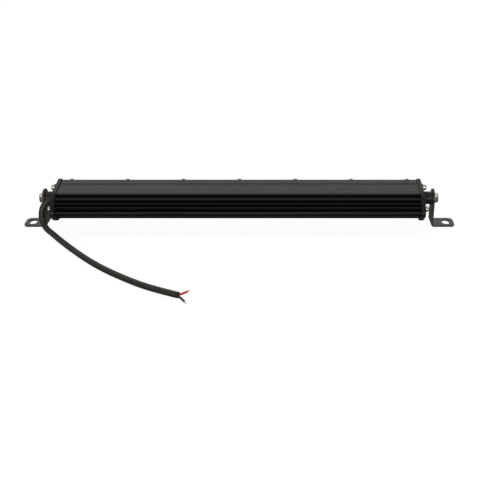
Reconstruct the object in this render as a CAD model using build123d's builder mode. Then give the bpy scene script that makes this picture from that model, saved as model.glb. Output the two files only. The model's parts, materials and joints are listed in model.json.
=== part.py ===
from build123d import *
from math import atan, cos, degrees, pi, radians, sin, sqrt, tan
import os

# LED light bar, in millimetres.
# X runs along the bar, +Y is the way the lens faces and +Z is up.
# The origin lies on the ground, midway between the two foot slots.

# ---- driving dimensions -------------------------------------------------------------------
LED_COUNT = 18
LED_PITCH = 26.0
LEDS_PER_SCREW = 3                   # one bezel screw for each three LEDs
BODY_HALF = 247.2                    # housing and bezel, half length
TILT = 6.0                           # the lens faces this many degrees above the horizon
PIVOT_HEIGHT = 38.5
PIVOT_ABOVE_AXIS = 2.5               # the pivot bolts sit this far above the section's centreline

# End cap outline: two flat flanks that close to a rounded nose through 45 degree lines.
# Section places are (u, w): u forward of the pivot, w above the section's centreline.
CAP_FRONT = 24.0
CAP_HALF_HEIGHT = 21.0
NOSE_VERTEX = -47.2                  # where the two 45 degree lines would meet
SHOULDER_RADIUS = 27.0
NOSE_RADIUS = 6.5
FRONT_CORNER_RADIUS = 2.5
CAP_THICKNESS = 5.5
REVEAL = 1.8                         # how far the cap stands proud of the housing all round
EDGE_RADIUS = 1.0
SEAL_LIP = 0.4                       # the cap closes over its gasket by this much all round
CUT = 60.0                           # longer than any cut through the section

# housing section
BEZEL_BACK = 10.2
BEZEL_FRONT = 23.0
GROOVE_WIDTH = 1.7
GROOVE_DEPTH = 1.2
CHANNEL_HALF = 13.5
WEB_FRONT = 1.0
WEB_BACK = -5.0
CHAMBER_BACK = -21.5
CHAMBER_CORNER = 4.0
RIDGE_BACK = -20.2
RIDGE_HEIGHT = 18.6
RIDGE_THICKNESS = 1.6
CORE_VERTEX = -34.5                  # the core's two 45 degree lines would meet here
FIN_RECESS = 2.05                    # the fin tips lie this far inside the flanks' outline
FIN_HEIGHTS = [14.4, 10.1, 6.3]
FIN_THICKNESS = 1.5
CENTRE_FIN_HALF = 2.05
TAP_DEPTH = 7.0
SCREW_BITE = 4.0                     # the board screws' reach into the web
WIRE_HOLE_RADIUS = 3.0

# lens, gasket and optics
WINDOW_HALF = 11.6
REBATE_HALF = 14.0
REBATE_FRONT = 20.5
LENS_THICKNESS = 3.0
GASKET_THICKNESS = 0.8
OPTICS_HALF = 240.0                  # half length of the lens
LENS_CLEARANCE = 0.4
WINDOW_BEVEL = 25.0                  # degrees
WINDOW_INSET = 2.5                   # the bezel laps over the lens ends by this much
WINDOW_CORNER = 7.6
BOARD_THICKNESS = 1.6
PAD_THICKNESS = 0.3
CUP_MOUTH_RADIUS = 11.2
CUP_THROAT_RADIUS = 4.0
EMITTER_SIDE = 5.0
EMITTER_HEIGHT = 1.2
DOME_RADIUS = 2.1
DOME_HEIGHT = 0.8
OPTICS_END = 4.0                     # board and reflector run on past the last LED's pitch

# fasteners: (shank radius, head radius, head height)
M3 = (1.5, 2.9, 1.9)
M4 = (2.0, 4.0, 3.2)
BEZEL_SCREW = (1.5, 3.5, 2.6)
BEZEL_SCREW_HEIGHT = 16.4
BEZEL_SCREW_REACH = 6.5
SCREW_CLEARANCE = 0.1
PAN_RADIUS = 0.9
RECESS_DEPTH = 1.2
HEAD_ROOM = 0.6                      # round a head that sits in a pocket
CAP_SCREW_PLACES = [(5.5, 16.0), (5.5, -16.0), (-27.0, 0.0)]
CAP_SCREW_REACH = 10.0
CAP_PAD_RADIUS = 4.8
CAP_PAD_HEIGHT = 1.0
CAP_HEAD_ROUND = 2.0
FLAT_WASHER = (4.5, 0.8)             # radius, thickness
SPRING_WASHER = (3.5, 1.1)

# pivots and brackets
BOSS_RADIUS = 8.9
BOSS_LENGTH = 13.0
SPACER_THICKNESS = 1.0
STRAP_THICKNESS = 2.4
STRAP_WIDTH = 26.0
PLAY = 0.05                          # each side of the strap, and round the bolt
BOLT_RADIUS = 4.0
BOLT_LENGTH = 15.5
BOLT_ROOM = 1.0                      # past the bolt's end, in its hole
BOLT_ACROSS_FLATS = 13.0
BOLT_HEAD = 4.6
BOLT_BEVEL = 1.2
BOLT_BEVEL_ANGLE = 60.0
WASHER_THICKNESS = 1.0
WASHER_RADIUS = 8.0
FOOT_END = 299.8
FOOT_CORNER = 6.5
SLOT_CENTRE = 288.9
SLOT_LENGTH = 15.5                   # the foot slots run front to back
SLOT_WIDTH = 10.6
BEND_INSIDE = 1.5

# driver in the rear chamber
DRIVER_CENTRE = -130.0
DRIVER_LENGTH = 140.0
DRIVER_HEIGHT = 22.0
DRIVER_STANDOFF = 3.0
DRIVER_SCREW_EDGE = (6.0, 4.0)       # from the board's ends and long sides
INDUCTOR = (7.5, 3.0, 7.0)           # outer radius, bore radius, height
INDUCTOR_ROUND = 1.2
CAPACITOR = (4.0, 10.0, 64.0)        # radius, height, spacing
CAPACITOR_ROUND = 0.6
CHIP = (6.5, 5.0, 1.6)
CHIP_GRID = (34.0, 11.0)

# cable
CABLE_DIAMETER = 8.0
CORE_DIAMETER = 2.8
STRAND_DIAMETER = 1.4
GROMMET_RADIUS = 5.0
GROMMET_NOSE = 1.8
GROMMET_LIP = 0.6
ROUTE = [
    (-254.5, -17.2, 44.2), (-262.3, -19.6, 40.2), (-268.3, -23.0, 32.3), (-270.6, -25.6, 22.0),
    (-268.3, -28.8, 12.2), (-262.6, -35.0, 6.4), (-252.4, -46.6, 4.1), (-234.0, -69.0, 4.1),
    (-203.5, -104.3, 4.1), (-168.5, -139.0, 4.1), (-128.0, -171.5, 4.1), (-94.5, -195.5, 4.1),
    (-62.3, -213.7, 4.1),
]
RED_ROUTE = [(-61.7, -212.5, 4.1), (-56.4, -210.0, 3.4), (-52.3, -204.8, 2.6)]
BLACK_ROUTE = [(-62.9, -214.9, 4.1), (-58.6, -219.0, 3.0), (-54.7, -224.2, 1.9)]
TIP_LENGTH = 5.0

# leads inside the housing, as (x, u, w)
LEAD_DIAMETER = 2.4
LEAD_RED = [
    (-247.2, -16.5, 11.4), (-230, -16.5, 11.4), (-214, -14, 6.5), (-202, -10.85, 2.2), (-188, -10.85, 2.2),
]
LEAD_BLACK = [
    (-247.2, -16.5, 8.6), (-232, -16.5, 8.6), (-216, -14, 3.5), (-204, -10.85, -1.5), (-188, -10.85, -1.5),
]
LED_LEAD_RED = [
    (-76, -10.85, 1.6), (-62, -10.85, 1.6), (-46, -11, -4.0), (-26, -11, -6.7), (-26, 1.3, -6.7),
]
LED_LEAD_BLACK = [
    (-76, -10.85, -1.6), (-62, -10.85, -1.6), (-46, -11, -7.3), (-26, -11, -9.3), (-26, 1.3, -9.3),
]

# ---- derived places -----------------------------------------------------------------------
FORWARD = Vector(0, cos(radians(TILT)), sin(radians(TILT)))
UPWARD = Vector(0, -sin(radians(TILT)), cos(radians(TILT)))
PIVOT = Vector(0, 0, PIVOT_HEIGHT)
AXIS = PIVOT - UPWARD * PIVOT_ABOVE_AXIS
BODY_HALF_HEIGHT = CAP_HALF_HEIGHT - REVEAL
CAP_OUTER = BODY_HALF + CAP_THICKNESS
BOSS_END = CAP_OUTER + BOSS_LENGTH
STRAP_INNER = BOSS_END + SPACER_THICKNESS + PLAY
STRAP_OUTER = STRAP_INNER + STRAP_THICKNESS
WASHER_INNER = STRAP_OUTER + PLAY
HEAD_INNER = WASHER_INNER + WASHER_THICKNESS
SCREW_PITCH = LEDS_PER_SCREW * LED_PITCH
SCREW_COLUMNS = LED_COUNT // LEDS_PER_SCREW + 1
LENS_FRONT = REBATE_FRONT - GASKET_THICKNESS
LENS_BACK = LENS_FRONT - LENS_THICKNESS
BOARD_BACK = WEB_FRONT + PAD_THICKNESS
BOARD_FRONT = BOARD_BACK + BOARD_THICKNESS
DRIVER_FRONT = WEB_BACK - DRIVER_STANDOFF
DRIVER_BACK = DRIVER_FRONT - BOARD_THICKNESS
CAP_HEAD_SEAT = CAP_OUTER + CAP_PAD_HEIGHT + FLAT_WASHER[1] + SPRING_WASHER[1]
OPTICS_LENGTH = LED_COUNT * LED_PITCH + 2 * OPTICS_END
WIRE_HOLE = (-LED_PITCH, -8.0)       # through the web, (x, w)


def across(x):
    """The section plane at x, facing +X: local x runs forward (u), local y up (w)."""
    return Plane(origin=AXIS + Vector(x, 0, 0), x_dir=FORWARD, z_dir=(1, 0, 0))


def facing(u):
    """The plane at u that faces forward: local x runs along -X, local y up (w)."""
    return Plane(origin=AXIS + FORWARD * u, x_dir=(-1, 0, 0), z_dir=FORWARD)


def at_pivot(x):
    """The plane across the pivot axis at x, facing +X and level with the ground."""
    return Plane(origin=PIVOT + Vector(x, 0, 0), x_dir=(0, 1, 0), z_dir=(1, 0, 0))


def place(x, u, w):
    """The point at x along the bar and (u, w) on its section."""
    return AXIS + Vector(x, 0, 0) + FORWARD * u + UPWARD * w


def section_outline(inset):
    """The closed bullet-shaped outline of the cap, moved inwards by inset."""
    front = CAP_FRONT - inset
    half = CAP_HALF_HEIGHT - inset
    vertex = NOSE_VERTEX + inset * sqrt(2)
    shoulder = vertex + half
    corner = max(FRONT_CORNER_RADIUS - inset, 0.5)
    FilletPolyline(
        (front, -half), (front, half), (shoulder, half), (vertex, 0), (shoulder, -half),
        radius=[corner, corner, SHOULDER_RADIUS - inset, NOSE_RADIUS - inset, SHOULDER_RADIUS - inset],
        close=True,
    )


def bezel_screw_places():
    """The bezel screws, on a facing plane: a row above the window and a row below."""
    return GridLocations(SCREW_PITCH, 2 * BEZEL_SCREW_HEIGHT, SCREW_COLUMNS, 2)


def board_screw_places():
    """The LED board's screws, on a facing plane, between the cups."""
    return GridLocations(2 * SCREW_PITCH, 0, 3, 1)


def led_places():
    """The LEDs, on a facing plane."""
    return GridLocations(LED_PITCH, 0, LED_COUNT, 1)


def driver_screw_places():
    """The driver board's screws, on a facing plane."""
    edge_x, edge_w = DRIVER_SCREW_EDGE
    with Locations((-DRIVER_CENTRE, 0)):
        return GridLocations(DRIVER_LENGTH - 2 * edge_x, DRIVER_HEIGHT - 2 * edge_w, 2, 2)


def cord_radii(points):
    """The largest arc that each inner corner of a route allows."""
    radii = []
    for before, corner, after in zip(points, points[1:], points[2:]):
        run_in = Vector(corner) - Vector(before)
        run_out = Vector(after) - Vector(corner)
        half_turn = radians(run_in.get_angle(run_out)) / 2
        radii.append(0.45 * min(run_in.length, run_out.length) / tan(half_turn))
    return radii


# ---- housing ------------------------------------------------------------------------------
with BuildPart() as housing_extrusion:
    with BuildSketch(across(0)):
        with BuildLine():
            section_outline(REVEAL)
        make_face()
        with Locations((BEZEL_BACK, 0)):
            Rectangle(CUT, CUT, align=(Align.MIN, Align.CENTER), mode=Mode.SUBTRACT)
        # behind the ridges the section steps in to the line of the fin tips
        with Locations((RIDGE_BACK, 0)):
            Rectangle(CUT, CUT, align=(Align.MAX, Align.CENTER), mode=Mode.SUBTRACT)
        with BuildSketch(mode=Mode.PRIVATE) as finned_part:
            with BuildLine():
                section_outline(REVEAL + FIN_RECESS)
            make_face()
            with Locations((0, 0)):
                Rectangle(CUT, CUT, align=(Align.MIN, Align.CENTER), mode=Mode.SUBTRACT)
        add(finned_part.sketch)
        gap_tops = [RIDGE_HEIGHT - RIDGE_THICKNESS] + [h - FIN_THICKNESS / 2 for h in FIN_HEIGHTS]
        gap_bottoms = [h + FIN_THICKNESS / 2 for h in FIN_HEIGHTS] + [CENTRE_FIN_HALF]
        for side in (1, -1):
            # the spaces between the fins
            for top, bottom in zip(gap_tops, gap_bottoms):
                with BuildLine():
                    Polyline(
                        (CORE_VERTEX + top, side * top), (CORE_VERTEX + bottom, side * bottom),
                        (NOSE_VERTEX, side * bottom), (NOSE_VERTEX, side * top), close=True,
                    )
                make_face(mode=Mode.SUBTRACT)
            # the flank ends in a ridge, and a groove runs behind the bezel
            with Locations((RIDGE_BACK, side * (RIDGE_HEIGHT - RIDGE_THICKNESS))):
                outwards = Align.MIN if side > 0 else Align.MAX
                Rectangle(CUT, CUT, align=(Align.MAX, outwards), mode=Mode.SUBTRACT)
            with Locations((BEZEL_BACK - GROOVE_WIDTH / 2, side * BODY_HALF_HEIGHT)):
                Rectangle(GROOVE_WIDTH, 2 * GROOVE_DEPTH, mode=Mode.SUBTRACT)
        # the open front channel, the closed driver chamber, and the web between them
        with Locations((WEB_FRONT, 0)):
            Rectangle(CUT, 2 * CHANNEL_HALF, align=(Align.MIN, Align.CENTER), mode=Mode.SUBTRACT)
        corner_u = CHAMBER_BACK + CHAMBER_CORNER
        corner_w = CHANNEL_HALF - CHAMBER_CORNER
        with BuildLine():
            Polyline(
                (WEB_BACK, CHANNEL_HALF), (corner_u, CHANNEL_HALF), (CHAMBER_BACK, corner_w),
                (CHAMBER_BACK, -corner_w), (corner_u, -CHANNEL_HALF), (WEB_BACK, -CHANNEL_HALF), close=True,
            )
        make_face(mode=Mode.SUBTRACT)
    extrude(amount=BODY_HALF, both=True)
    for end in (-1, 1):
        with BuildSketch(across(end * BODY_HALF)):
            with Locations(*CAP_SCREW_PLACES):
                Circle(M4[0])
        extrude(amount=-end * CAP_SCREW_REACH, mode=Mode.SUBTRACT)
    with BuildSketch(facing(BEZEL_BACK)):
        with bezel_screw_places():
            Circle(BEZEL_SCREW[0])
    extrude(amount=-TAP_DEPTH, mode=Mode.SUBTRACT)
    with BuildSketch(facing(WEB_FRONT)):
        with board_screw_places():
            Circle(M3[0])
        with driver_screw_places():
            Circle(M3[0])
        with Locations((-WIRE_HOLE[0], WIRE_HOLE[1])):
            Circle(WIRE_HOLE_RADIUS)
    extrude(amount=WEB_BACK - WEB_FRONT, mode=Mode.SUBTRACT)
housing_extrusion.part.label = "housing_extrusion"

# ---- bezel, lens and gasket ---------------------------------------------------------------
with BuildPart() as front_bezel:
    with BuildSketch(facing(BEZEL_BACK)):
        Rectangle(2 * BODY_HALF, 2 * BODY_HALF_HEIGHT)
    extrude(amount=BEZEL_FRONT - BEZEL_BACK)
    front_face = front_bezel.faces().sort_by(Axis(AXIS, FORWARD))[-1]
    fillet(front_face.edges().filter_by(Axis.X), radius=EDGE_RADIUS)
    with BuildSketch(facing(BEZEL_BACK)):
        Rectangle(2 * (OPTICS_HALF + LENS_CLEARANCE), 2 * REBATE_HALF)
    extrude(amount=REBATE_FRONT - BEZEL_BACK, mode=Mode.SUBTRACT)
    with BuildSketch(facing(REBATE_FRONT)):
        RectangleRounded(2 * (OPTICS_HALF - WINDOW_INSET), 2 * WINDOW_HALF, WINDOW_CORNER)
    extrude(amount=BEZEL_FRONT - REBATE_FRONT, taper=-WINDOW_BEVEL, mode=Mode.SUBTRACT)
    with BuildSketch(facing(BEZEL_BACK)):
        with bezel_screw_places():
            Circle(BEZEL_SCREW[0] + SCREW_CLEARANCE)
    extrude(amount=BEZEL_FRONT - BEZEL_BACK, mode=Mode.SUBTRACT)
front_bezel.part.label = "front_bezel"

with BuildPart() as lens_cover:
    with BuildSketch(facing(LENS_BACK)):
        Rectangle(2 * OPTICS_HALF, 2 * REBATE_HALF - LENS_CLEARANCE)
    extrude(amount=LENS_THICKNESS)
lens_cover.part.label = "lens_cover"

with BuildPart() as lens_gasket:
    with BuildSketch(facing(LENS_FRONT)):
        Rectangle(2 * OPTICS_HALF, 2 * REBATE_HALF - LENS_CLEARANCE)
        RectangleRounded(
            2 * (OPTICS_HALF - WINDOW_INSET) + 2 * SEAL_LIP, 2 * (WINDOW_HALF + SEAL_LIP), WINDOW_CORNER,
            mode=Mode.SUBTRACT,
        )
    extrude(amount=GASKET_THICKNESS)
lens_gasket.part.label = "lens_gasket"

with BuildPart() as bezel_screws:
    shank_radius, head_radius, head_height = BEZEL_SCREW
    with BuildSketch(facing(BEZEL_FRONT)):
        with bezel_screw_places():
            Circle(head_radius)
    extrude(amount=head_height)
    fillet(bezel_screws.edges().group_by(Axis(AXIS, FORWARD))[-1], radius=PAN_RADIUS)
    with BuildSketch(facing(BEZEL_FRONT)):
        with bezel_screw_places():
            Circle(shank_radius)
    extrude(amount=BEZEL_BACK - BEZEL_SCREW_REACH - BEZEL_FRONT)
    with BuildSketch(facing(BEZEL_FRONT + head_height)):
        with bezel_screw_places():
            Rectangle(head_radius, head_radius / 5)
            Rectangle(head_radius / 5, head_radius)
    extrude(amount=-RECESS_DEPTH, mode=Mode.SUBTRACT)
bezel_screws.part.label = "bezel_screws"

# ---- optics and LED board -----------------------------------------------------------------
with BuildPart() as reflector_strip:
    with BuildSketch(facing(BOARD_FRONT)):
        Rectangle(OPTICS_LENGTH, 2 * CHANNEL_HALF - 1)
    extrude(amount=LENS_BACK - BOARD_FRONT)
    cup_depth = LENS_BACK - BOARD_FRONT
    cup_slope = degrees(atan((CUP_MOUTH_RADIUS - CUP_THROAT_RADIUS) / cup_depth))
    with BuildSketch(facing(LENS_BACK)):
        with led_places():
            Circle(CUP_MOUTH_RADIUS)
    extrude(amount=-cup_depth, taper=cup_slope, mode=Mode.SUBTRACT)
    with BuildSketch(facing(BOARD_FRONT)):
        with board_screw_places():
            Circle(M3[1] + HEAD_ROOM)
    extrude(amount=M3[2] + HEAD_ROOM, mode=Mode.SUBTRACT)
reflector_strip.part.label = "reflector_strip"

with BuildPart() as led_board:
    with BuildSketch(facing(BOARD_BACK)):
        Rectangle(OPTICS_LENGTH, 2 * CHANNEL_HALF - 2)
        with board_screw_places():
            Circle(M3[0] + SCREW_CLEARANCE, mode=Mode.SUBTRACT)
    extrude(amount=BOARD_THICKNESS)
led_board.part.label = "led_board"

with BuildPart() as led_emitters:
    with BuildSketch(facing(BOARD_FRONT)):
        with led_places():
            Rectangle(EMITTER_SIDE, EMITTER_SIDE)
    extrude(amount=EMITTER_HEIGHT)
    with BuildSketch(facing(BOARD_FRONT + EMITTER_HEIGHT)):
        with led_places():
            Circle(DOME_RADIUS)
    extrude(amount=DOME_HEIGHT, taper=30)
led_emitters.part.label = "led_emitters"

with BuildPart() as thermal_pad:
    with BuildSketch(facing(WEB_FRONT)):
        Rectangle(OPTICS_LENGTH - OPTICS_END, 2 * CHANNEL_HALF - OPTICS_END)
        with board_screw_places():
            Circle(M3[0] + SCREW_CLEARANCE, mode=Mode.SUBTRACT)
        with Locations((-WIRE_HOLE[0], WIRE_HOLE[1])):
            Circle(WIRE_HOLE_RADIUS, mode=Mode.SUBTRACT)
    extrude(amount=PAD_THICKNESS)
thermal_pad.part.label = "thermal_pad"

with BuildPart() as board_screws:
    with BuildSketch(facing(BOARD_FRONT)):
        with board_screw_places():
            Circle(M3[1])
    extrude(amount=M3[2])
    with BuildSketch(facing(BOARD_FRONT)):
        with board_screw_places():
            Circle(M3[0])
    extrude(amount=WEB_FRONT - SCREW_BITE - BOARD_FRONT)
board_screws.part.label = "board_screws"

# ---- driver in the rear chamber -----------------------------------------------------------
with BuildPart() as driver_board:
    with BuildSketch(facing(DRIVER_BACK)):
        with Locations((-DRIVER_CENTRE, 0)):
            Rectangle(DRIVER_LENGTH, DRIVER_HEIGHT)
        with driver_screw_places():
            Circle(M3[0] + SCREW_CLEARANCE, mode=Mode.SUBTRACT)
    extrude(amount=BOARD_THICKNESS)
driver_board.part.label = "driver_board"

with BuildPart() as driver_spacers:
    with BuildSketch(facing(DRIVER_FRONT)):
        with driver_screw_places():
            Circle(M3[1])
            Circle(M3[0] + SCREW_CLEARANCE, mode=Mode.SUBTRACT)
    extrude(amount=DRIVER_STANDOFF)
driver_spacers.part.label = "driver_spacers"

with BuildPart() as driver_screws:
    with BuildSketch(facing(DRIVER_BACK)):
        with driver_screw_places():
            Circle(M3[1])
    extrude(amount=-M3[2])
    with BuildSketch(facing(DRIVER_BACK)):
        with driver_screw_places():
            Circle(M3[0])
    extrude(amount=WEB_BACK + SCREW_BITE - DRIVER_BACK)
driver_screws.part.label = "driver_screws"

with BuildPart() as driver_inductor:
    with BuildSketch(facing(DRIVER_BACK)):
        with Locations((-DRIVER_CENTRE, 0)):
            Circle(INDUCTOR[0])
            Circle(INDUCTOR[1], mode=Mode.SUBTRACT)
    extrude(amount=-INDUCTOR[2])
    fillet(driver_inductor.edges().filter_by(GeomType.CIRCLE), radius=INDUCTOR_ROUND)
driver_inductor.part.label = "driver_inductor"

with BuildPart() as driver_capacitors:
    with BuildSketch(facing(DRIVER_BACK)):
        with Locations((-DRIVER_CENTRE, 0)):
            with GridLocations(CAPACITOR[2], 0, 2, 1):
                Circle(CAPACITOR[0])
    extrude(amount=-CAPACITOR[1])
    fillet(driver_capacitors.edges().group_by(Axis(AXIS, FORWARD))[0], radius=CAPACITOR_ROUND)
driver_capacitors.part.label = "driver_capacitors"

with BuildPart() as driver_chips:
    with BuildSketch(facing(DRIVER_BACK)):
        with Locations((-DRIVER_CENTRE, 0)):
            with GridLocations(*CHIP_GRID, 2, 2):
                Rectangle(CHIP[0], CHIP[1])
    extrude(amount=-CHIP[2])
driver_chips.part.label = "driver_chips"

# ---- end caps and their gaskets -----------------------------------------------------------
with BuildPart() as end_cap_right:
    with BuildSketch(across(BODY_HALF)):
        with BuildLine():
            section_outline(0)
        make_face()
    extrude(amount=CAP_THICKNESS)
    fillet(end_cap_right.edges().group_by(Axis.X)[-1], radius=EDGE_RADIUS)
    fillet(end_cap_right.edges().group_by(Axis.X)[0], radius=SEAL_LIP)
    with BuildSketch(across(BODY_HALF)):
        with BuildLine():
            section_outline(REVEAL + SEAL_LIP)
        make_face()
    extrude(amount=GASKET_THICKNESS, mode=Mode.SUBTRACT)
    with BuildSketch(at_pivot(CAP_OUTER)):
        Circle(BOSS_RADIUS)
    extrude(amount=BOSS_LENGTH)
    with BuildSketch(across(CAP_OUTER)):
        with Locations(*CAP_SCREW_PLACES):
            Circle(CAP_PAD_RADIUS)
    extrude(amount=CAP_PAD_HEIGHT)
    with BuildSketch(across(BODY_HALF)):
        with Locations(*CAP_SCREW_PLACES):
            Circle(M4[0] + SCREW_CLEARANCE)
    extrude(amount=CAP_THICKNESS + CAP_PAD_HEIGHT, mode=Mode.SUBTRACT)
    with BuildSketch(at_pivot(BOSS_END)):
        Circle(BOLT_RADIUS + PLAY)
    extrude(amount=HEAD_INNER - BOLT_LENGTH - BOLT_ROOM - BOSS_END, mode=Mode.SUBTRACT)
end_cap_right.part.label = "end_cap_right"

with BuildPart() as end_cap_left:
    mirror(end_cap_right.part, about=Plane.YZ)
    with BuildSketch(at_pivot(-BODY_HALF)):
        with Locations((ROUTE[0][1], ROUTE[0][2] - PIVOT_HEIGHT)):
            Circle(GROMMET_RADIUS)
    extrude(amount=-CAP_THICKNESS, mode=Mode.SUBTRACT)
end_cap_left.part.label = "end_cap_left"

with BuildPart() as end_gasket_right:
    with BuildSketch(across(BODY_HALF)):
        with BuildLine():
            section_outline(REVEAL + SEAL_LIP)
        make_face()
        with Locations(*CAP_SCREW_PLACES):
            Circle(M4[0] + SCREW_CLEARANCE, mode=Mode.SUBTRACT)
    extrude(amount=GASKET_THICKNESS)
end_gasket_right.part.label = "end_gasket_right"

with BuildPart() as end_gasket_left:
    mirror(end_gasket_right.part, about=Plane.YZ)
    with BuildSketch(at_pivot(-BODY_HALF)):
        with Locations((ROUTE[0][1], ROUTE[0][2] - PIVOT_HEIGHT)):
            Circle(GROMMET_RADIUS)
    extrude(amount=-GASKET_THICKNESS, mode=Mode.SUBTRACT)
end_gasket_left.part.label = "end_gasket_left"

with BuildPart() as cap_screws:
    for end in (-1, 1):
        with BuildSketch(across(end * CAP_HEAD_SEAT)):
            with Locations(*CAP_SCREW_PLACES):
                Circle(M4[1])
        extrude(amount=end * M4[2])
    fillet(cap_screws.edges().group_by(Axis.X)[-1], radius=CAP_HEAD_ROUND)
    fillet(cap_screws.edges().group_by(Axis.X)[0], radius=CAP_HEAD_ROUND)
    for end in (-1, 1):
        with BuildSketch(across(end * CAP_HEAD_SEAT)):
            with Locations(*CAP_SCREW_PLACES):
                Circle(M4[0])
        extrude(amount=end * (BODY_HALF - CAP_SCREW_REACH - CAP_HEAD_SEAT))
        with BuildSketch(across(end * (CAP_HEAD_SEAT + M4[2]))):
            with Locations(*CAP_SCREW_PLACES):
                Rectangle(M4[1], M4[1] / 5)
                Rectangle(M4[1] / 5, M4[1])
        extrude(amount=-end * RECESS_DEPTH, mode=Mode.SUBTRACT)
cap_screws.part.label = "cap_screws"

with BuildPart() as cap_screw_washers:
    for end in (-1, 1):
        with BuildSketch(across(end * (CAP_OUTER + CAP_PAD_HEIGHT))):
            with Locations(*CAP_SCREW_PLACES):
                Circle(FLAT_WASHER[0])
                Circle(M4[0], mode=Mode.SUBTRACT)
        extrude(amount=end * FLAT_WASHER[1])
        with BuildSketch(across(end * (CAP_OUTER + CAP_PAD_HEIGHT + FLAT_WASHER[1]))):
            with Locations(*CAP_SCREW_PLACES):
                Circle(SPRING_WASHER[0])
                Circle(M4[0], mode=Mode.SUBTRACT)
        extrude(amount=end * SPRING_WASHER[1])
cap_screw_washers.part.label = "cap_screw_washers"

# ---- pivots -------------------------------------------------------------------------------
with BuildPart() as pivot_bolts:
    for end in (-1, 1):
        with BuildSketch(at_pivot(end * HEAD_INNER)):
            RegularPolygon(BOLT_ACROSS_FLATS / 2, 6, major_radius=False, rotation=30)
        extrude(amount=end * BOLT_HEAD)
        # the turned bevel at the corners of the head
        with BuildSketch(at_pivot(end * (HEAD_INNER + BOLT_HEAD))):
            Circle(BOLT_ACROSS_FLATS)
            Circle(BOLT_ACROSS_FLATS / 2, mode=Mode.SUBTRACT)
        extrude(amount=-end * BOLT_BEVEL, taper=-BOLT_BEVEL_ANGLE, mode=Mode.SUBTRACT)
        with BuildSketch(at_pivot(end * HEAD_INNER)):
            Circle(BOLT_RADIUS)
        extrude(amount=-end * BOLT_LENGTH)
pivot_bolts.part.label = "pivot_bolts"

with BuildPart() as pivot_washers:
    for end in (-1, 1):
        with BuildSketch(at_pivot(end * WASHER_INNER)):
            Circle(WASHER_RADIUS)
            Circle(BOLT_RADIUS + PLAY, mode=Mode.SUBTRACT)
        extrude(amount=end * WASHER_THICKNESS)
pivot_washers.part.label = "pivot_washers"

with BuildPart() as pivot_spacers:
    for end in (-1, 1):
        with BuildSketch(at_pivot(end * BOSS_END)):
            Circle(BOSS_RADIUS)
            Circle(BOLT_RADIUS + PLAY, mode=Mode.SUBTRACT)
        extrude(amount=end * SPACER_THICKNESS)
pivot_spacers.part.label = "pivot_spacers"

# ---- brackets -----------------------------------------------------------------------------
with BuildPart() as bracket_right:
    with BuildSketch(Plane.XZ):
        strap_top = PIVOT_HEIGHT + STRAP_WIDTH / 2
        with BuildLine():
            FilletPolyline(
                (STRAP_INNER, 0), (FOOT_END, 0), (FOOT_END, STRAP_THICKNESS),
                (STRAP_OUTER, STRAP_THICKNESS), (STRAP_OUTER, strap_top), (STRAP_INNER, strap_top),
                radius=[BEND_INSIDE + STRAP_THICKNESS, 0, 0, BEND_INSIDE, 0, 0],
                close=True,
            )
        make_face()
    extrude(amount=STRAP_WIDTH / 2, both=True)
    # the top of the strap is rounded about the pivot
    with BuildSketch(at_pivot(STRAP_INNER)):
        Rectangle(2 * STRAP_WIDTH, STRAP_WIDTH, align=(Align.CENTER, Align.MIN))
        Circle(STRAP_WIDTH / 2, mode=Mode.SUBTRACT)
    extrude(amount=STRAP_THICKNESS, mode=Mode.SUBTRACT)
    fillet(bracket_right.edges().filter_by(Axis.Z).group_by(Axis.X)[-1], radius=FOOT_CORNER)
    with BuildSketch(at_pivot(STRAP_INNER)):
        Circle(BOLT_RADIUS + PLAY)
    extrude(amount=STRAP_THICKNESS, mode=Mode.SUBTRACT)
    with BuildSketch(Plane.XY):
        with Locations((SLOT_CENTRE, 0)):
            SlotOverall(SLOT_LENGTH, SLOT_WIDTH, rotation=90)
    extrude(amount=STRAP_THICKNESS, mode=Mode.SUBTRACT)
bracket_right.part.label = "bracket_right"

with BuildPart() as bracket_left:
    mirror(bracket_right.part, about=Plane.YZ)
bracket_left.part.label = "bracket_left"

# ---- cable --------------------------------------------------------------------------------
exit_y, exit_z = ROUTE[0][1], ROUTE[0][2] - PIVOT_HEIGHT

with BuildPart() as cable_grommet:
    with BuildSketch(at_pivot(-BODY_HALF)):
        with Locations((exit_y, exit_z)):
            Circle(GROMMET_RADIUS)
    extrude(amount=-CAP_THICKNESS)
    with BuildSketch(at_pivot(-CAP_OUTER)):
        with Locations((exit_y, exit_z)):
            Circle(GROMMET_RADIUS + GROMMET_LIP)
    extrude(amount=-GROMMET_NOSE, taper=20)
cable_grommet.part.label = "cable_grommet"

# Every round lead: name, route and diameter. The first one is the cable itself.
TUBES = [
    ("cable_jacket", ROUTE, CABLE_DIAMETER),
    ("wire_red", RED_ROUTE, CORE_DIAMETER),
    ("wire_black", BLACK_ROUTE, CORE_DIAMETER),
    ("lead_red", [place(*p) for p in LEAD_RED], LEAD_DIAMETER),
    ("lead_black", [place(*p) for p in LEAD_BLACK], LEAD_DIAMETER),
    ("led_lead_red", [place(*p) for p in LED_LEAD_RED], LEAD_DIAMETER),
    ("led_lead_black", [place(*p) for p in LED_LEAD_BLACK], LEAD_DIAMETER),
]
tubes = []
for name, route, diameter in TUBES:
    radii = cord_radii(route)
    with BuildPart() as tube:
        with BuildLine() as path:
            FilletPolyline(*route, radius=radii)
        with BuildSketch(Plane(origin=path.line @ 0, z_dir=path.line % 0)):
            Circle(diameter / 2)
        sweep()
    tube.part.label = name
    tubes.append(tube.part)
    length = path.line.wires()[0].length
    expected = length * pi * diameter**2 / 4
    print(f"{name}: {length:.1f} mm long, volume / expected {tube.part.volume / expected:.4f}")
    print("   corner radii:", [round(r, 1) for r in radii])

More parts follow.
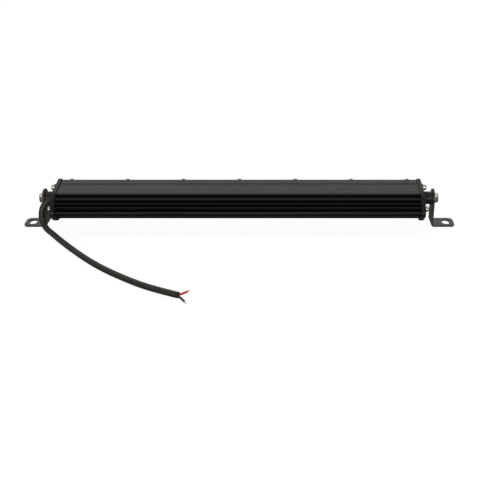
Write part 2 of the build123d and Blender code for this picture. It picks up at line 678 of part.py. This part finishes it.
with BuildPart() as wire_tips:
    for route in (RED_ROUTE, BLACK_ROUTE):
        heading = (Vector(route[-1]) - Vector(route[-2])).normalized()
        with BuildSketch(Plane(origin=route[-1], z_dir=heading)):
            Circle(STRAND_DIAMETER / 2)
        extrude(amount=TIP_LENGTH)
wire_tips.part.label = "wire_tips"

# ---- write one STEP file for each sub-part -------------------------------------------------
os.makedirs("parts", exist_ok=True)
finished = [
    housing_extrusion, front_bezel, lens_cover, lens_gasket, bezel_screws, reflector_strip, led_board,
    led_emitters, thermal_pad, board_screws, driver_board, driver_spacers, driver_screws, driver_inductor,
    driver_capacitors, driver_chips, end_cap_right, end_cap_left, end_gasket_right, end_gasket_left,
    cap_screws, cap_screw_washers, pivot_bolts, pivot_washers, pivot_spacers, bracket_right, bracket_left,
    cable_grommet, wire_tips,
]
for piece in [sub_part.part for sub_part in finished] + tubes:
    export_step(piece, f"parts/{piece.label}.step")
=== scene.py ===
"""LED light bar seen from its finned rear: looks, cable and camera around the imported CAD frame.

Everything is in metres in the CAD's own frame: X along the bar, +Y the way the lens faces, +Z up.
"""
import json
import math

import bmesh
import bpy
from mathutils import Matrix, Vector


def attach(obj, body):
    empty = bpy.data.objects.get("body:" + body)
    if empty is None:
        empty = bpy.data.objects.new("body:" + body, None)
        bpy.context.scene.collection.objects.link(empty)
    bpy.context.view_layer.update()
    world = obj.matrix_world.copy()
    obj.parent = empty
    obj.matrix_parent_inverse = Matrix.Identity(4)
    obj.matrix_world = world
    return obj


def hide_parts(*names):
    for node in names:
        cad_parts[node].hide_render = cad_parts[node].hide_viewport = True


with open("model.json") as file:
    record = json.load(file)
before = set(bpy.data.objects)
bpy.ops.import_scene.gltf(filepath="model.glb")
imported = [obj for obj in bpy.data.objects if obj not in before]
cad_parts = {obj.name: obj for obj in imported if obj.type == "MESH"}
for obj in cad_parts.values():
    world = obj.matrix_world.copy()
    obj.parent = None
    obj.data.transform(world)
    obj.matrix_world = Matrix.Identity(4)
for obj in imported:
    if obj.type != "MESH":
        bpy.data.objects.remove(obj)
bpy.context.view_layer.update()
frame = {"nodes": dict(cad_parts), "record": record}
NODES = frame["nodes"]
MM = 0.001
BODY = "lamp"

# ---- sizes that the pieces made here share with the CAD ------------------------------------
TILT = math.radians(6.0)
FORWARD = Vector((0, math.cos(TILT), math.sin(TILT)))
UPWARD = Vector((0, -math.sin(TILT), math.cos(TILT)))
PIVOT = Vector((0, 0, 38.5)) * MM
AXIS = PIVOT - UPWARD * 2.5 * MM
LED_COUNT = 18
LED_PITCH = 26.0 * MM
BOARD_FRONT = 2.9 * MM               # distance of the LED board's face along FORWARD
LENS_BACK = 16.7 * MM
CABLE_DIAMETER = 8.0 * MM
CORE_DIAMETER = 2.8 * MM
CABLE_ROUTE = [
    (-254.5, -17.2, 44.2), (-262.3, -19.6, 40.2), (-267.5, -23.0, 32.3), (-269.2, -25.6, 22.0),
    (-266.6, -28.8, 12.2), (-260.8, -35.0, 6.4), (-251.0, -44.4, 4.1), (-233.8, -67.6, 4.1),
    (-203.5, -105.0, 4.1), (-168.5, -142.8, 4.1), (-128.0, -176.2, 4.1), (-94.5, -198.8, 4.1),
    (-62.3, -213.7, 4.1),
]
RED_ROUTE = [(-61.7, -212.5, 4.1), (-57.0, -208.8, 3.6), (-53.2, -203.2, 3.0)]
BLACK_ROUTE = [(-62.9, -214.9, 4.1), (-58.6, -219.0, 3.0), (-54.7, -224.2, 1.9)]
TIP_LENGTH = 5.0 * MM

# ---- camera, measured from the pivot -------------------------------------------------------
CAMERA_PITCH = math.radians(25.5)
CAMERA_DISTANCE = 1.159
CAMERA_DROP = 0.05845                # how far the optical axis passes below the pivot
CAMERA_ASIDE = 0.0567                # how far the camera stands towards +X
CAMERA_LENS = 62.8
CAMERA_SENSOR = 36.0
CAMERA_SHIFT = -0.0833
CAMERA_CLIP = (0.01, 50)


def make_camera():
    """Behind and above the bar, looking down, level, a little right of centre."""
    view = Vector((0, math.cos(CAMERA_PITCH), -math.sin(CAMERA_PITCH)))
    up = Vector((0, math.sin(CAMERA_PITCH), math.cos(CAMERA_PITCH)))
    data = bpy.data.cameras.new("camera")
    data.sensor_width = CAMERA_SENSOR
    data.lens = CAMERA_LENS
    data.shift_x = CAMERA_SHIFT
    data.clip_start, data.clip_end = CAMERA_CLIP
    camera = bpy.data.objects.new("camera", data)
    bpy.context.scene.collection.objects.link(camera)
    camera.location = PIVOT - view * CAMERA_DISTANCE - up * CAMERA_DROP + Vector((CAMERA_ASIDE, 0, 0))
    camera.rotation_euler = (math.pi / 2 - CAMERA_PITCH, 0, 0)
    bpy.context.scene.camera = camera


make_camera()


# ---- cable and conductors ------------------------------------------------------------------
def spline_curve(name, points, diameter):
    """A round cord along one quadratic NURBS spline whose control points are points, in mm."""
    data = bpy.data.curves.new(name, "CURVE")
    data.dimensions = "3D"
    data.resolution_u = 16
    data.bevel_depth = diameter / 2
    data.bevel_resolution = 8
    data.use_fill_caps = True
    spline = data.splines.new("NURBS")
    spline.points.add(len(points) - 1)
    for target, point in zip(spline.points, points):
        target.co = (*(Vector(point) * MM), 1)
    spline.order_u = 3
    spline.use_endpoint_u = True
    obj = bpy.data.objects.new(name, data)
    bpy.context.scene.collection.objects.link(obj)
    return obj


cable = spline_curve("cable", CABLE_ROUTE, CABLE_DIAMETER)
red_core = spline_curve("red_core", RED_ROUTE, CORE_DIAMETER)
black_core = spline_curve("black_core", BLACK_ROUTE, CORE_DIAMETER)


# ---- material helpers ----------------------------------------------------------------------
class Material:
    """A Principled material with small helpers that keep the node code short."""

    def __init__(self, name, color, metallic=0.0, roughness=0.5, **sockets):
        self.material = bpy.data.materials.new(name)
        self.material.use_nodes = True
        self.tree = self.material.node_tree
        self.shader = self.tree.nodes["Principled BSDF"]
        self.shader.inputs["Base Color"].default_value = (*color, 1)
        self.shader.inputs["Metallic"].default_value = metallic
        self.shader.inputs["Roughness"].default_value = roughness
        for socket, value in sockets.items():
            self.shader.inputs[socket.replace("_", " ")].default_value = value
        self.height = None

    def node(self, kind, **settings):
        made = self.tree.nodes.new(kind)
        for key, value in settings.items():
            setattr(made, key, value)
        return made

    def link(self, source, target):
        self.tree.links.new(source, target)

    def noise(self, scale, detail=3.0, stretch=(1, 1, 1), distortion=0.0):
        """A noise in object space. Scale is per metre, and stretch multiplies it along each axis."""
        coordinates = self.node("ShaderNodeTexCoord")
        mapping = self.node("ShaderNodeMapping")
        mapping.inputs["Scale"].default_value = stretch
        noise = self.node("ShaderNodeTexNoise")
        noise.inputs["Scale"].default_value = scale
        noise.inputs["Detail"].default_value = detail
        noise.inputs["Distortion"].default_value = distortion
        self.link(coordinates.outputs["Object"], mapping.inputs["Vector"])
        self.link(mapping.outputs["Vector"], noise.inputs["Vector"])
        return noise.outputs["Fac"]

    def cells(self, scale):
        """Distance to the nearest cell centre: a grain for powder coat and castings."""
        coordinates = self.node("ShaderNodeTexCoord")
        voronoi = self.node("ShaderNodeTexVoronoi")
        voronoi.inputs["Scale"].default_value = scale
        self.link(coordinates.outputs["Object"], voronoi.inputs["Vector"])
        return voronoi.outputs["Distance"]

    def ramp(self, value, *stops):
        """A colour ramp through (position, colour) stops."""
        ramp = self.node("ShaderNodeValToRGB")
        elements = ramp.color_ramp.elements
        while len(elements) < len(stops):
            elements.new(0.5)
        for element, (position, color) in zip(elements, stops):
            element.position = position
            element.color = (*color, 1)
        self.link(value, ramp.inputs["Fac"])
        return ramp.outputs["Color"]

    def span(self, value, low, high, start=0.3, end=0.7):
        """Maps value from start..end to low..high."""
        mapped = self.node("ShaderNodeMapRange")
        for socket, number in (("From Min", start), ("From Max", end), ("To Min", low), ("To Max", high)):
            mapped.inputs[socket].default_value = number
        self.link(value, mapped.inputs["Value"])
        return mapped.outputs["Result"]

    def color(self, socket):
        self.link(socket, self.shader.inputs["Base Color"])

    def roughness(self, socket):
        self.link(socket, self.shader.inputs["Roughness"])

    def bump(self, height, distance, strength=1.0):
        """Adds a bump of that many metres on top of the ones already there."""
        bump = self.node("ShaderNodeBump")
        bump.inputs["Strength"].default_value = strength
        bump.inputs["Distance"].default_value = distance
        self.link(height, bump.inputs["Height"])
        if self.height:
            self.link(self.height, bump.inputs["Normal"])
        self.height = bump.outputs["Normal"]
        self.link(self.height, self.shader.inputs["Normal"])


# ---- materials -----------------------------------------------------------------------------
WORN_EDGE = (0.16, 0.155, 0.15)


def coated(name, dark, light, roughness, grain, depth, wear=0.0):
    """A black coating with grain of that many cells per metre, clouding, and paler worn edges."""
    m = Material(name, dark, roughness=roughness, Specular_IOR_Level=0.3)
    clouds = m.noise(18, 4)
    base = m.ramp(clouds, (0.3, dark), (0.7, light))
    if wear:
        pointed = m.node("ShaderNodeNewGeometry").outputs["Pointiness"]
        edge = m.span(pointed, 0.0, wear, 0.52, 0.6)
        mix = m.node("ShaderNodeMix", data_type="RGBA")
        m.link(edge, mix.inputs["Factor"])
        m.link(base, mix.inputs["A"])
        mix.inputs["B"].default_value = (*WORN_EDGE, 1)
        base = mix.outputs["Result"]
    m.color(base)
    m.roughness(m.span(m.noise(60, 5), roughness - 0.05, roughness + 0.06))
    m.bump(m.cells(grain), depth)
    m.bump(m.noise(grain * 0.35, 2), depth * 1.5)
    return m.material


def extruded_aluminium():
    """Satin black anodised extrusion with die lines that run along X."""
    m = Material("black_anodised", (0.006, 0.0057, 0.0054), roughness=0.3, Specular_IOR_Level=0.3)
    lines = m.noise(900, 3, stretch=(0.006, 1, 1))
    clouds = m.noise(9, 4, stretch=(0.6, 2, 2))
    mix = m.node("ShaderNodeMath", operation="MULTIPLY")
    m.link(lines, mix.inputs[0])
    m.link(clouds, mix.inputs[1])
    m.color(m.ramp(mix.outputs[0], (0.1, (0.0045, 0.0043, 0.0040)), (0.45, (0.0085, 0.0081, 0.0076))))
    m.roughness(m.span(lines, 0.25, 0.36))
    m.bump(lines, 0.00006, 0.5)
    m.bump(m.noise(2600, 2), 0.00001, 0.5)
    return m.material


def zinc():
    """Bright zinc plate with a slightly warm, uneven passivation."""
    m = Material("zinc_plate", (0.78, 0.76, 0.72), metallic=1.0, roughness=0.24)
    m.color(m.ramp(m.noise(240, 4), (0.3, (0.66, 0.63, 0.57)), (0.7, (0.86, 0.85, 0.83))))
    m.roughness(m.span(m.noise(500, 5), 0.18, 0.36))
    m.bump(m.noise(1800, 3), 0.00002, 0.4)
    return m.material


def lens_plastic():
    """Clear polycarbonate, with the faintest moulding waviness."""
    m = Material(
        "clear_polycarbonate", (0.96, 0.98, 0.99), roughness=0.03, Transmission_Weight=1.0, IOR=1.58,
    )
    m.bump(m.noise(30, 2), 0.00004, 0.15)
    m.roughness(m.span(m.noise(400, 4), 0.02, 0.05))
    return m.material


def metallised():
    """Vacuum-metallised reflector plastic."""
    m = Material("metallised_reflector", (0.9, 0.91, 0.93), metallic=1.0, roughness=0.1)
    m.color(m.ramp(m.noise(150, 3), (0.3, (0.84, 0.85, 0.88)), (0.7, (0.94, 0.95, 0.96))))
    m.roughness(m.span(m.noise(700, 4), 0.07, 0.16))
    m.bump(m.cells(900), 0.00002, 0.3)
    return m.material


def plastic(name, dark, light, roughness, grain=900, depth=0.00002):
    """A moulded plastic, solder mask, rubber or ferrite: clouded colour and a fine grain."""
    m = Material(name, dark, roughness=roughness)
    m.color(m.ramp(m.noise(45, 4), (0.3, dark), (0.7, light)))
    m.roughness(m.span(m.noise(220, 4), roughness - 0.06, roughness + 0.06))
    m.bump(m.noise(grain, 3), depth, 0.6)
    return m.material


def cable_sheath():
    """Black PVC sheath: satin, with handling smears and the faint ridges of the cores inside."""
    m = Material("cable_sheath", (0.03, 0.029, 0.026), roughness=0.45, Specular_IOR_Level=0.4)
    clouds = m.noise(70, 5, distortion=0.6)
    m.color(m.ramp(clouds, (0.3, (0.022, 0.021, 0.019)), (0.72, (0.042, 0.040, 0.036))))
    m.roughness(m.span(m.noise(160, 6, distortion=1.0), 0.34, 0.52))
    m.bump(m.noise(1500, 4), 0.00003, 0.5)
    m.bump(m.noise(220, 2), 0.00012, 0.4)
    return m.material


def phosphor():
    """The yellow LED phosphor under its clear dome."""
    m = Material("phosphor", (0.86, 0.72, 0.10), roughness=0.25, Coat_Weight=0.8, Coat_Roughness=0.05)
    m.color(m.ramp(m.noise(2500, 3), (0.3, (0.80, 0.62, 0.07)), (0.7, (0.92, 0.80, 0.16))))
    m.bump(m.noise(5000, 2), 0.00001, 0.4)
    return m.material


BEZEL = coated("bezel_satin", (0.012, 0.0116, 0.0108), (0.018, 0.0174, 0.0163), 0.34, 1600, 0.00001)
MATERIALS = {
    "black_aluminium": extruded_aluminium(),
    "black_cast": coated(
        "cast_powder_coat", (0.009, 0.0087, 0.0082), (0.017, 0.0164, 0.0155), 0.42, 1400, 0.00004, 0.35,
    ),
    "black_steel": coated(
        "steel_powder_coat", (0.009, 0.0088, 0.0085), (0.016, 0.0157, 0.0150), 0.36, 900, 0.00003, 0.35,
    ),
    "lens": lens_plastic(),
    "seal": plastic("silicone_seal", (0.02, 0.02, 0.021), (0.04, 0.04, 0.041), 0.6),
    "zinc_steel": zinc(),
    "reflector": metallised(),
    "ceramic": plastic("led_ceramic", (0.78, 0.78, 0.76), (0.86, 0.86, 0.84), 0.4),
    "board_white": plastic("white_solder_mask", (0.80, 0.81, 0.80), (0.87, 0.88, 0.87), 0.35),
    "emitter": phosphor(),
    "board_green": plastic("green_solder_mask", (0.012, 0.10, 0.04), (0.02, 0.15, 0.06), 0.35),
    "nylon": plastic("black_nylon", (0.012, 0.012, 0.012), (0.022, 0.022, 0.022), 0.5),
    "ferrite": plastic("ferrite", (0.05, 0.05, 0.055), (0.09, 0.09, 0.095), 0.6, 1500, 0.00006),
    "bare_aluminium": plastic("capacitor_sleeve", (0.55, 0.56, 0.58), (0.68, 0.69, 0.70), 0.3),
    "chip": plastic("chip_epoxy", (0.014, 0.014, 0.014), (0.026, 0.026, 0.026), 0.55),
    "cable_rubber": cable_sheath(),
    "wire_red": plastic("red_insulation", (0.78, 0.030, 0.014), (0.90, 0.055, 0.026), 0.32),
    "wire_black": plastic("black_insulation", (0.012, 0.012, 0.012), (0.03, 0.03, 0.03), 0.32),
    "tinned_copper": zinc(),
}


def paint(obj, slot):
    """Gives an object its slot's material."""
    obj.data.materials.clear()
    obj.data.materials.append(MATERIALS[slot])
    return obj


def paint_cad_nodes():
    """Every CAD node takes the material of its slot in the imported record."""
    for row in frame["record"]["subparts"]:
        obj = NODES[row["node"]]
        for slot in obj.material_slots:
            slot.material = BEZEL if row["node"] == "front_bezel" else MATERIALS[row["material_slot"]]


paint_cad_nodes()


# ---- pieces --------------------------------------------------------------------------------
def add_mesh(name, mesh_builder, slot, smooth_angle=40):
    """Makes a mesh object with a bmesh builder and paints it."""
    mesh = bpy.data.meshes.new(name)
    bm = bmesh.new()
    mesh_builder(bm)
    bmesh.ops.recalc_face_normals(bm, faces=bm.faces)
    limit = math.radians(smooth_angle)
    for face in bm.faces:
        face.smooth = True
    for edge in bm.edges:
        edge.smooth = len(edge.link_faces) == 2 and edge.calc_face_angle(0) < limit
    bm.to_mesh(mesh)
    bm.free()
    obj = bpy.data.objects.new(name, mesh)
    bpy.context.scene.collection.objects.link(obj)
    paint(obj, slot)
    return obj


def section_point(x, u, w):
    """The point at x along the bar, u forward of the pivot and w above the section's centreline."""
    return AXIS + Vector((x, 0, 0)) + FORWARD * u + UPWARD * w


def led_columns():
    return [(index - (LED_COUNT - 1) / 2) * LED_PITCH for index in range(LED_COUNT)]


def bridge(bm, rings):
    """Quads between neighbouring closed rings of vertices."""
    for low, high in zip(rings, rings[1:]):
        count = len(low)
        for k in range(count):
            n = (k + 1) % count
            bm.faces.new((low[k], low[n], high[n], high[k]))


def add_box(bm, x, u, w):
    """A closed box between the pairs x, u and w on the section's axes."""
    corners = [[[bm.verts.new(section_point(i, j, k)) for k in w] for j in u] for i in x]
    for a, b in (((0, 0), (1, 0)), ((1, 0), (1, 1)), ((1, 1), (0, 1)), ((0, 1), (0, 0))):
        low, high = corners[a[0]][a[1]], corners[b[0]][b[1]]
        bm.faces.new((low[0], high[0], high[1], low[1]))
    for k in (0, 1):
        bm.faces.new((corners[0][0][k], corners[1][0][k], corners[1][1][k], corners[0][1][k]))


def make_reflector():
    """One metallised strip: a square cell with a parabolic, softly faceted cup for each LED."""
    sides, steps = 32, 10
    half = LED_PITCH / 2
    mouth, throat, lip, end = 11.2 * MM, 4.0 * MM, 0.5 * MM, 4.0 * MM
    lens_gap, board_gap, chamfer = 0.05 * MM, 0.02 * MM, 0.3
    front, back = LENS_BACK - lens_gap, BOARD_FRONT + board_gap
    turns = [2 * math.pi * k / sides for k in range(sides)]

    def ring(bm, x, radius, u):
        return [bm.verts.new(section_point(x + radius * math.cos(a), u, radius * math.sin(a))) for a in turns]

    def border(bm, x, u):
        points = []
        for a in turns:
            reach = half / max(abs(math.cos(a)), abs(math.sin(a)))
            points.append(bm.verts.new(section_point(x + reach * math.cos(a), u, reach * math.sin(a))))
        return points

    def build(bm):
        for x in led_columns():
            rings = [border(bm, x, front), ring(bm, x, mouth + lip, front)]
            rings.append(ring(bm, x, mouth + lip * chamfer, front - lip * chamfer))
            for step in range(steps + 1):
                share = 1 - step / steps
                radius = math.sqrt(throat ** 2 + (mouth ** 2 - throat ** 2) * share)
                rings.append(ring(bm, x, radius, back + (front - lip - back) * share))
            rings.append(border(bm, x, back))
            rings.append(rings[0])
            bridge(bm, rings)
        run = (LED_COUNT / 2) * LED_PITCH
        for side in (-1, 1):
            add_box(bm, sorted((side * run, side * (run + end))), (back, front), (-half, half))

    strip = add_mesh("reflector", build, "reflector", smooth_angle=50)
    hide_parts("reflector_strip")
    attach(strip, BODY)


def make_leds():
    """Each LED is a ceramic base with a solder pad on each side, and a low phosphor dome."""
    half, base_height = 2.5 * MM, 0.75 * MM
    pad_reach, pad_height, pad_half = 0.9 * MM, 0.3 * MM, 1.6 * MM
    dome_radius, dome_height, sides, steps = 2.05 * MM, 1.15 * MM, 24, 6

    def bases(bm):
        for x in led_columns():
            add_box(bm, (x - half, x + half), (BOARD_FRONT, BOARD_FRONT + base_height), (-half, half))
            for side in (-1, 1):
                inner, outer = sorted((side * half, side * (half + pad_reach)))
                depth = (BOARD_FRONT, BOARD_FRONT + pad_height)
                add_box(bm, (x + inner, x + outer), depth, (-pad_half, pad_half))

    def domes(bm):
        for x in led_columns():
            top = BOARD_FRONT + base_height
            rings = []
            for step in range(steps):
                rise = math.pi / 2 * step / steps
                radius = dome_radius * math.cos(rise)
                level = top + dome_height * math.sin(rise)
                ring = []
                for k in range(sides):
                    turn = 2 * math.pi * k / sides
                    place = section_point(x + radius * math.cos(turn), level, radius * math.sin(turn))
                    ring.append(bm.verts.new(place))
                rings.append(ring)
            bridge(bm, rings)
            bm.faces.new(rings[0])
            tip = bm.verts.new(section_point(x, top + dome_height, 0))
            for k in range(sides):
                bm.faces.new((rings[-1][k], rings[-1][(k + 1) % sides], tip))

    base = add_mesh("led_bases", bases, "ceramic")
    dome = add_mesh("led_domes", domes, "emitter", smooth_angle=60)
    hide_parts("led_emitters")
    for piece in (base, dome):
        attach(piece, BODY)


def twisted_strands(name, start, heading):
    """A bundle of seven tinned strands: one straight, six wound round it."""
    strand, buried = 0.23 * MM, 0.3 * MM
    outer, turns, steps, sides = 6, 1.1, 18, 6
    pack = 0.98                          # keeps the strands touching, and the bundle inside its length
    along = heading.normalized()
    side = along.cross(Vector((0, 0, 1))).normalized()
    over = side.cross(along)

    def build(bm):
        for index in range(outer + 1):
            orbit = 0 if index == 0 else 2 * strand * pack
            rings = []
            for step in range(steps + 1):
                share = step / steps
                angle = 2 * math.pi * (turns * share + index / outer)
                centre = start - along * buried + along * TIP_LENGTH * pack * share
                centre += (side * math.cos(angle) + over * math.sin(angle)) * orbit
                ring = []
                for k in range(sides):
                    turn = 2 * math.pi * k / sides
                    offset = (side * math.cos(turn) + over * math.sin(turn)) * strand
                    ring.append(bm.verts.new(centre + offset))
                rings.append(ring)
            bridge(bm, rings)
            bm.faces.new(rings[0])
            bm.faces.new(rings[-1])

    return add_mesh(name, build, "tinned_copper", smooth_angle=80)


def finish_cable():
    """The cable rides on the lamp with its two cores and their twisted, tinned strands."""
    paint(cable, "cable_rubber")
    paint(red_core, "wire_red")
    paint(black_core, "wire_black")
    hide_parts("cable_jacket")
    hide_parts("wire_red")
    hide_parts("wire_black")
    tips = []
    for name, route in (("red_strands", RED_ROUTE), ("black_strands", BLACK_ROUTE)):
        tips.append(twisted_strands(name, Vector(route[-1]) * MM, Vector(route[-1]) - Vector(route[-2])))
    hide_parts("wire_tips")
    for piece in (cable, red_core, black_core, *tips):
        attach(piece, BODY)


finish_cable()
make_reflector()
make_leds()


# ---- stage: white floor and soft light -----------------------------------------------------
FLOOR_GAP = 0.1 * MM                 # keeps the floor clear of the feet
FLOOR_GLOW = 0.93
LIGHT_COLOR = (1.0, 0.975, 0.93)


def make_floor():
    """A white floor that curves up into a backdrop all round, lit evenly like a light table."""
    flat, sweep, height, steps = 2.5, 2.5, 6.0, 12
    profile = [(0.0, 0.0), (flat, 0.0)]
    for step in range(1, steps + 1):
        angle = math.pi / 2 * step / steps
        profile.append((flat + sweep * math.sin(angle), sweep * (1 - math.cos(angle))))
    profile.append((flat + sweep, height))
    mesh = bpy.data.meshes.new("floor")
    bm = bmesh.new()
    chain = [bm.verts.new((radius, 0, level)) for radius, level in profile]
    edges = [bm.edges.new(pair) for pair in zip(chain, chain[1:])]
    bmesh.ops.spin(
        bm, geom=chain + edges, cent=(0, 0, 0), axis=(0, 0, 1), angle=2 * math.pi, steps=64, use_merge=True,
    )
    bmesh.ops.remove_doubles(bm, verts=bm.verts, dist=1e-5)
    for face in bm.faces:
        face.smooth = True
    bm.to_mesh(mesh)
    bm.free()
    floor = bpy.data.objects.new("floor", mesh)
    bpy.context.scene.collection.objects.link(floor)
    floor.location.z = -FLOOR_GAP
    m = Material("floor_white", (0.9, 0.9, 0.9), roughness=0.9)
    m.color(m.ramp(m.noise(3, 3), (0.3, (0.145, 0.145, 0.145)), (0.7, (0.155, 0.155, 0.155))))
    m.shader.inputs["Emission Color"].default_value = (1, 1, 1, 1)
    m.shader.inputs["Emission Strength"].default_value = FLOOR_GLOW
    floor.data.materials.append(m.material)
    floor.visible_diffuse = False
    floor.visible_glossy = False
    floor.visible_shadow = False


def make_world():
    """A dim tent: brightest towards the back of the set, darker behind the camera and below."""
    world = bpy.data.worlds.new("tent")
    bpy.context.scene.world = world
    world.use_nodes = True
    tree = world.node_tree
    background = tree.nodes["Background"]
    background.inputs["Color"].default_value = (*LIGHT_COLOR, 1)
    direction = tree.nodes.new("ShaderNodeTexCoord")
    split = tree.nodes.new("ShaderNodeSeparateXYZ")
    back = tree.nodes.new("ShaderNodeMapRange")
    above = tree.nodes.new("ShaderNodeMapRange")
    both = tree.nodes.new("ShaderNodeMath")
    both.operation = "MULTIPLY"
    for socket, number in (("From Min", -0.7), ("From Max", 0.8), ("To Min", 0.24), ("To Max", 0.46)):
        back.inputs[socket].default_value = number
    for socket, number in (("From Min", -0.35), ("From Max", 0.1), ("To Min", 0.35), ("To Max", 1.0)):
        above.inputs[socket].default_value = number
    tree.links.new(direction.outputs["Generated"], split.inputs[0])
    tree.links.new(split.outputs["Y"], back.inputs["Value"])
    tree.links.new(split.outputs["Z"], above.inputs["Value"])
    tree.links.new(back.outputs["Result"], both.inputs[0])
    tree.links.new(above.outputs["Result"], both.inputs[1])
    tree.links.new(both.outputs[0], background.inputs["Strength"])


def softbox(name, location, target, size, radiance):
    """A rectangular soft light of that radiance, unseen by the camera."""
    data = bpy.data.lights.new(name, "AREA")
    data.shape = "RECTANGLE"
    data.size, data.size_y = size
    data.energy = radiance * math.pi * size[0] * size[1]
    data.color = LIGHT_COLOR
    light = bpy.data.objects.new(name, data)
    bpy.context.scene.collection.objects.link(light)
    light.location = location
    light.rotation_euler = (Vector(target) - Vector(location)).to_track_quat("-Z", "Y").to_euler()
    light.visible_camera = False


def make_stage():
    make_floor()
    make_world()
    softbox("overhead", location=(0, 0.35, 1.6), target=(0, 0, 0), size=(2.4, 1.2), radiance=0.4)
    softbox("back", location=(0, 1.7, 1.2), target=(0, 0, 0.05), size=(3.0, 1.3), radiance=0.55)
    softbox("front", location=(0, -2.2, 0.5), target=(0, 0, 0.02), size=(3.0, 0.5), radiance=5.0)
    bpy.context.scene.view_settings.view_transform = "Standard"
    bpy.context.scene.view_settings.look = "None"


make_stage()
